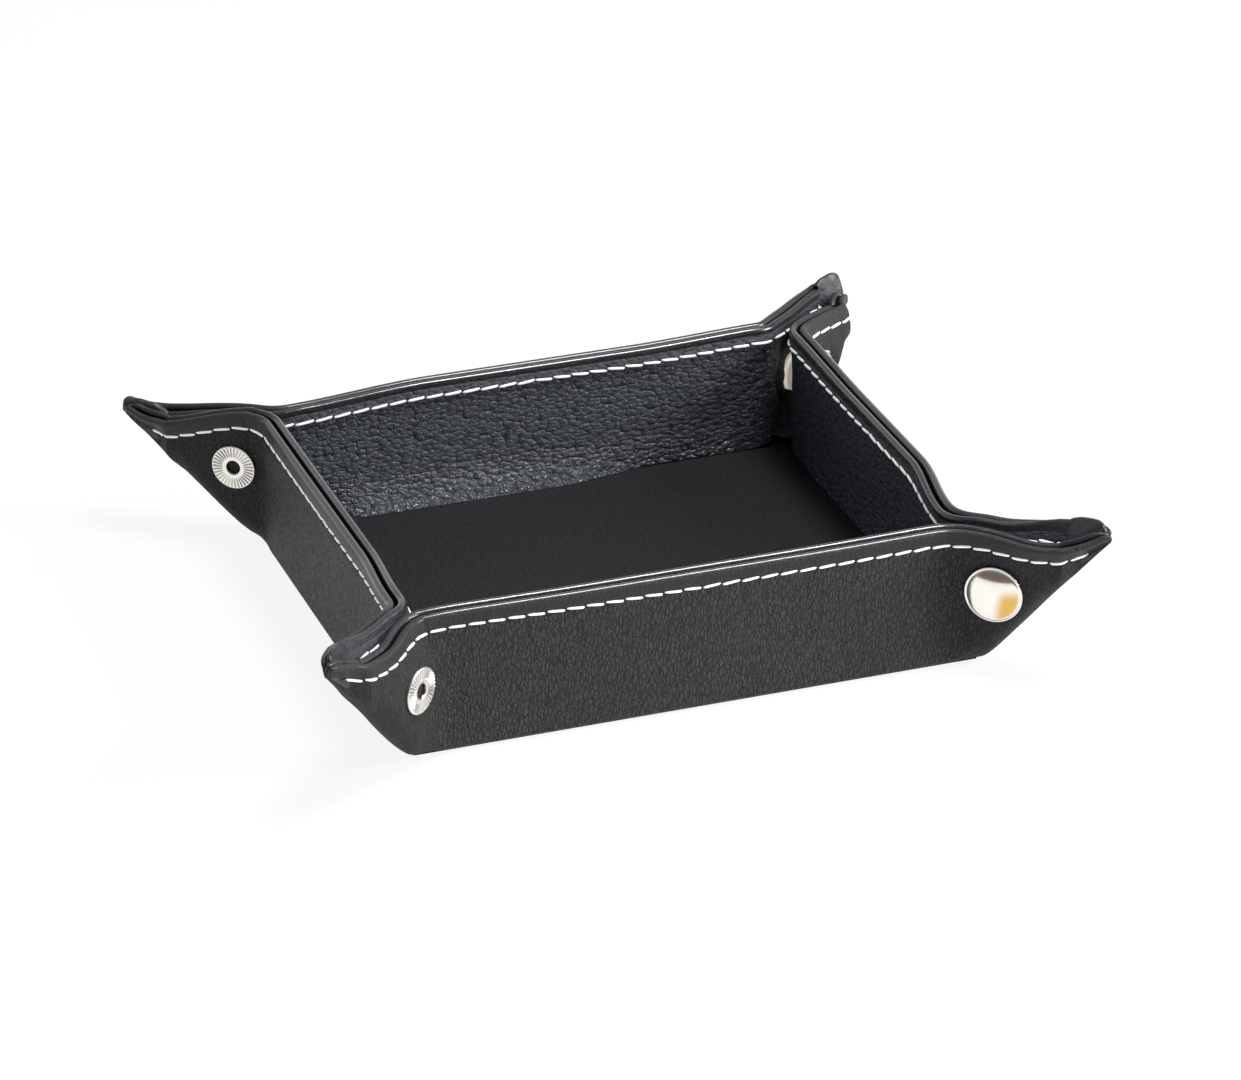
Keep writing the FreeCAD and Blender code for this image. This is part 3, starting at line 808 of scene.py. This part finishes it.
def stitches(half, face, normals, first, last):
    """One half's stitches between two places along the rim, as (points, faces)."""
    row = np.argmin(np.abs(half.depth[0] - seam_depth))
    line, line_normals = face[:, row], normals[:, row]
    half_pitch = stitch_pitch / 2
    middles = np.arange(-half.length + half_pitch, half.sewn - half_pitch, stitch_pitch)
    points, faces = [], []
    for number, middle in enumerate(middles):
        if not first <= middle < last:
            continue
        wave = math.sin(number * 12.9898 + half.length * 4000 + half.end)
        run = np.linspace(-0.5, 0.5, thread_steps)
        s = middle + run * stitch_length * (1 + 0.03 * wave)
        centre = np.stack([np.interp(s, half.s, line[:, k]) for k in range(3)], 1)
        normal = np.stack([np.interp(s, half.s, line_normals[:, k]) for k in range(3)], 1)
        normal /= np.linalg.norm(normal, axis=1, keepdims=True)
        ahead = np.gradient(centre, axis=0)
        ahead /= np.linalg.norm(ahead, axis=1, keepdims=True)
        side = np.cross(normal, ahead)
        arch = np.sqrt(np.clip(1 - (2 * run) ** 4, 0, 1))
        centre = centre + normal * ((arch - stitch_sunk) * thread_radius)[:, None]
        centre = centre + side * (run * (stitch_slant + 0.12 * wave) * mm)[:, None] * half.end
        fat = thread_radius * (0.55 + 0.45 * arch)
        for step in range(thread_steps):
            for k in range(thread_sides):
                angle = 2 * math.pi * k / thread_sides
                points.append(centre[step] + fat[step] * (math.cos(angle) * side[step] * thread_flat
                                                         + math.sin(angle) * normal[step]))
        start = len(points) - thread_steps * thread_sides
        for step in range(thread_steps - 1):
            for k in range(thread_sides):
                a = start + step * thread_sides + k
                b = start + step * thread_sides + (k + 1) % thread_sides
                faces.append((a, b, b + thread_sides, a + thread_sides))
        faces.append(tuple(range(start, start + thread_sides))[::-1])
        faces.append(tuple(range(len(points) - thread_sides, len(points))))
    return points, faces


def thread_piece(name, runs):
    """One object out of several runs of stitches."""
    points, faces = [], []
    for run_points, run_faces in runs:
        shift = len(points)
        points += [tuple(p) for p in run_points]
        faces += [tuple(i + shift for i in face) for face in run_faces]
    mesh = bpy.data.meshes.new(name)
    mesh.from_pydata(points, [], faces)
    mesh.polygons.foreach_set("use_smooth", np.ones(len(faces), bool))
    mesh.materials.append(thread_material)
    made = bpy.data.objects.new(name, mesh)
    bpy.context.scene.collection.objects.link(made)
    return made


def both_faces(half, first, last):
    lining = lining_points(half)
    return [stitches(half, half.points, half.normals, first, last),
            stitches(half, lining, -half.normals, first, last)]


for half in halves:
    if half.droops:
        thread = thread_piece(f"{half.ear}_tip_thread", both_faces(half, half.split, half.s[-1]))
        drawn_in(thread, half)
    thread = thread_piece(f"{half.ear}_thread", both_faces(half, panel_end, half.split))
    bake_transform(thread)
    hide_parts(f"{half.ear}_stitching")
for wall, (right, left) in bends.items():
    thread = thread_piece(f"{wall}_thread", both_faces(right, -1, panel_end) + both_faces(left, -1, panel_end))
    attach(thread, f"{wall}_wall")
    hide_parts(f"{wall}_stitching")


# Snaps: pressed sheet brass, nickel plated; a domed cap and socket on one half of each ear,
# and a stud with its open, serrated post on the other, each pair clinched through the leather.

def plated(name, tone, worn, painted_tone, roughness, painted_glow=0.0):
    """Nickel plate over brass. The colour given after worn is painted where the mark on the mesh says so: a painted
    warm reflection on a cap, painted shade in the hole and grooves of a post. The last argument is a painted glow,
    emission standing in for the stray light that a piece deep between the halves of an ear still catches."""
    made, wire = new_material(name)
    smear = wire.node("TexNoise", {}, {"Vector": place(wire), "Scale": 420, "Detail": 3}, "Fac")
    scratches = wire.node("TexNoise", {}, {"Vector": place(wire, (1, 1, 0.2)), "Scale": 5200, "Detail": 1}, "Fac")
    bump = wire.node("Bump", {}, {"Height": scratches, "Strength": 0.08, "Distance": 0.00005})
    mark = wire.node("Attribute", {"attribute_name": "mark"}, {}, "Fac")
    dress(made, wire, {
        "Base Color": blend_colour(wire, mark, blend_colour(wire, smear, tone, worn), painted_tone),
        "Metallic": 1.0,
        "Roughness": roughness + 0.08 * smear,
        "Normal": bump,
        "Emission Color": tone,
        "Emission Strength": painted_glow,
    })
    return made


# The cap's brass colour is a painted warm reflection, laid where its mark says.
cap_metal = plated("polished_nickel", tone=(0.97, 0.95, 0.90, 1), worn=(0.92, 0.89, 0.83, 1),
                   painted_tone=(0.76, 0.47, 0.14, 1), roughness=0.08)
# The post's dark colour is painted shade in its hole and grooves.
snap_metal = plated("plain_nickel", tone=(0.93, 0.91, 0.86, 1), worn=(0.86, 0.84, 0.79, 1),
                    painted_tone=(0.20, 0.14, 0.08, 1), roughness=0.27)
# The socket and stud metal is darker and carries a painted glow, emission in place of the light it would catch.
inner_metal = plated("inner_nickel", tone=(0.62, 0.59, 0.52, 1), worn=(0.50, 0.48, 0.43, 1),
                     painted_tone=(0.20, 0.14, 0.08, 1), roughness=0.20, painted_glow=0.45)


def turned(name, half, section, across, dip, mark, material):
    """A piece turned about the snap's axis. Section is its radius and height out from the ear's middle, from the
    axis round to the axis again; dip cuts into it by radius and angle, across is how many steps go round it."""
    radius, height = np.array(section).T[..., None] * mm
    angle = np.linspace(0, 2 * math.pi, across, endpoint=False)[None]
    centre = half.foot + half.ear_way * half.snap_reach + up * half.snap_height
    height = height - dip(radius, height, angle)
    rings = (centre + (radius * np.cos(angle))[..., None] * half.ear_way + (radius * np.sin(angle))[..., None] * up
             + height[..., None] * half.ear_out)
    flip = np.cross(half.ear_way, up) @ half.ear_out < 0
    around = np.roll(rings, -1, axis=1) - np.roll(rings, 1, axis=1)
    normals = np.cross(np.gradient(rings, axis=0), around) * (-1 if flip else 1)
    normals /= np.linalg.norm(normals, axis=2, keepdims=True)
    return shell(name, rings, normals, mark(radius, height, angle), flip, material)


# Sections in millimetres, as (radius, height).
dome_radius = 13.0
dome_top = 6.7
edge_radius = 0.25
cap_section = [(r, dome_top - dome_radius + math.sqrt(dome_radius ** 2 - r ** 2)) for r in np.linspace(0.1, 5.62, 24)]
cap_section += [(5.67, 5.34), (5.72, 5.28), (5.77, 5.26)]
cap_section += [(6.01 + edge_radius * math.cos(angle), 5.12 + edge_radius * math.sin(angle))
                for angle in np.linspace(2.5, -0.6, 14)]
cap_section += [(6.15, 4.75), (6.05, 4.5), (5.95, 4.46), (5.4, 4.45), (1.75, 4.45), (1.7, 4.4), (1.7, 2.1),
                (1.65, 2.05), (0.1, 2.05)]
post_section = [(0.1, 2.6), (1.38, 2.6), (1.45, 2.67), (1.45, 4.6), (1.47, 4.8), (1.56, 4.97), (1.72, 5.08),
                (1.92, 5.12), (2.2, 5.12)]
post_section += [(r, 5.12) for r in np.linspace(2.35, 4.7, 14)]
post_section += [(4.82, 5.09), (4.92, 5.02), (4.98, 4.92), (5.0, 4.8), (5.0, 4.5), (4.95, 4.45), (1.8, 4.45),
                 (1.75, 4.4), (1.75, 2.2), (1.7, 2.15), (0.1, 2.15)]
cap_sides = 96
groove_depth = 0.25 * mm
groove_sides = 8
front_face = 5 * mm
serrations = 34


def groove(radius, height, angle):
    """The serrations of a post's flange: 1 at the bottom of each groove."""
    cut = (1 - np.abs(np.sin(angle * serrations / 2))) ** 1.5
    return cut * ease(radius, 2.3 * mm, 2.9 * mm) * ease(radius, 4.9 * mm, 4.6 * mm) * (height > front_face)


def serrated(radius, height, angle):
    return groove_depth * groove(radius, height, angle)


def plain(radius, height, angle):
    return 0 * radius * angle


def painted_warm_reflection(radius, height, angle):
    """A painted warm reflection on a cap's dome: brass colour on its lower side, towards the ear's tip, short of the
    rolled edge.
    """
    outwards, upwards = radius * np.cos(angle), radius * np.sin(angle)
    aside = ease(outwards - 0.15 * upwards, 0.4 * mm, 3.0 * mm)
    below = ease(upwards, 2.6 * mm, -0.6 * mm)
    return aside * below * ease(radius, 5.7 * mm, 5.2 * mm) * (height > front_face)


def painted_hollow_shade(radius, height, angle):
    """Painted shade in the hole of a post and in its grooves."""
    in_hole = (radius < 1.6 * mm) & (height > 2.5 * mm)
    return np.where(in_hole, 0.85, 0.5 * groove(radius, height + 0.3 * mm, angle))


for half in halves:
    if half.end == 1:
        piece = turned(f"{half.corner}_cap_shell", half, cap_section, cap_sides, plain, painted_warm_reflection, cap_metal)
        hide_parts(f"{half.corner}_snap_cap")
    else:
        piece = turned(f"{half.corner}_post_shell", half, post_section, serrations * groove_sides, serrated, painted_hollow_shade,
                       snap_metal)
        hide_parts(f"{half.corner}_snap_post")
    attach(piece, half.ear)
for corner in folds:
    for inner in ("socket", "stud"):
        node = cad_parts[f"{corner}_snap_{inner}"]
        node.data.materials.clear()
        node.data.materials.append(inner_metal)


# Studio: a pale floor that keeps the tray's soft shadow, a surround for the metal to mirror and two soft lamps.
# The camera stands where the photograph was taken, with a long lens.

floor_reach = 3.0
floor_drop = 0.2 * mm
floor_glow = 0.88
floor_mesh = bpy.data.meshes.new("studio_floor")
floor_mesh.from_pydata([(-floor_reach, -floor_reach, 0), (floor_reach, -floor_reach, 0),
                        (floor_reach, floor_reach, 0), (-floor_reach, floor_reach, 0)], [], [(0, 1, 2, 3)])
floor = bpy.data.objects.new("studio_floor", floor_mesh)
bpy.context.scene.collection.objects.link(floor)
floor.location.z = -floor_drop
floor_material, wire = new_material("pale_floor")
floor_mesh.materials.append(floor_material)
seen = wire.node("LightPath", {}, {}, "Is Camera Ray")
seen = wire.maths("MAXIMUM", seen, wire.node("LightPath", {}, {}, "Is Glossy Ray"))
seen = wire.maths("MAXIMUM", seen, wire.node("LightPath", {}, {}, "Is Transmission Ray"))
paint = wire.node("BsdfDiffuse", {}, {"Color": (0.85, 0.85, 0.85, 1)})
glow = wire.node("Emission", {}, {"Color": (1, 1, 1, 1), "Strength": 1.0})
wire.feed(floor_material.node_tree.nodes["Material Output"].inputs["Surface"],
          wire.node("MixShader", {}, {0: floor_glow * seen, 1: paint, 2: glow}))

world = bpy.data.worlds.new("studio")
bpy.context.scene.world = world
world.use_nodes = True
wire = Wire(world.node_tree)
way = wire.node("TexCoord", {}, {}, "Generated")
height = wire.node("SeparateXYZ", {}, {0: way}, "Z")
depth = wire.node("SeparateXYZ", {}, {0: way}, "Y")
across = wire.node("SeparateXYZ", {}, {0: way}, "X")
behind = ramp(wire, depth + 0.25 * across, -0.6, 0.5)
above = ramp(wire, height, 0.3, 0.7)
low = ramp(wire, height, 0.09, 0.02)
surround = blend_colour(wire, behind, (0.16, 0.125, 0.10, 1), (0.8, 0.8, 0.82, 1))
surround = blend_colour(wire, above, surround, (0.34, 0.37, 0.44, 1))
surround = blend_colour(wire, low, surround, (1, 1, 1, 1))
wire.feed(world.node_tree.nodes["World Output"].inputs["Surface"],
          wire.node("Background", {}, {"Color": surround, "Strength": 1.0}))


def aimed(thing, spot, target):
    """Stands a lamp or a camera at a spot, looking at a target."""
    way = np.array(target, float) - np.array(spot, float)
    thing.location = spot
    yaw = math.atan2(way[0], way[1])
    pitch = math.atan2(way[2], math.hypot(way[0], way[1]))
    thing.rotation_euler = (math.pi / 2 + pitch, 0, -yaw)
    bpy.context.scene.collection.objects.link(thing)


def softbox(name, spot, size, power):
    lamp = bpy.data.lights.new(name, "AREA")
    lamp.shape = "SQUARE"
    lamp.size = size
    lamp.energy = power
    aimed(bpy.data.objects.new(name, lamp), spot, (0, 0, 0.015))


softbox("top_light", (0.28, -0.10, 0.9), 0.3, 8)
softbox("side_light", (0.6, -0.35, 0.35), 0.3, 6)

photo_width = 1241
focal_length = 5555
camera = bpy.data.cameras.new("camera")
camera.sensor_width = 36
camera.lens = focal_length / photo_width * camera.sensor_width
camera.clip_end = 20
camera_object = bpy.data.objects.new("camera", camera)
aimed(camera_object, (-0.3594, -0.9927, 0.5397), (0.0108, 0.0246, 0))
bpy.context.scene.camera = camera_object
bpy.context.scene.view_settings.view_transform = "Standard"
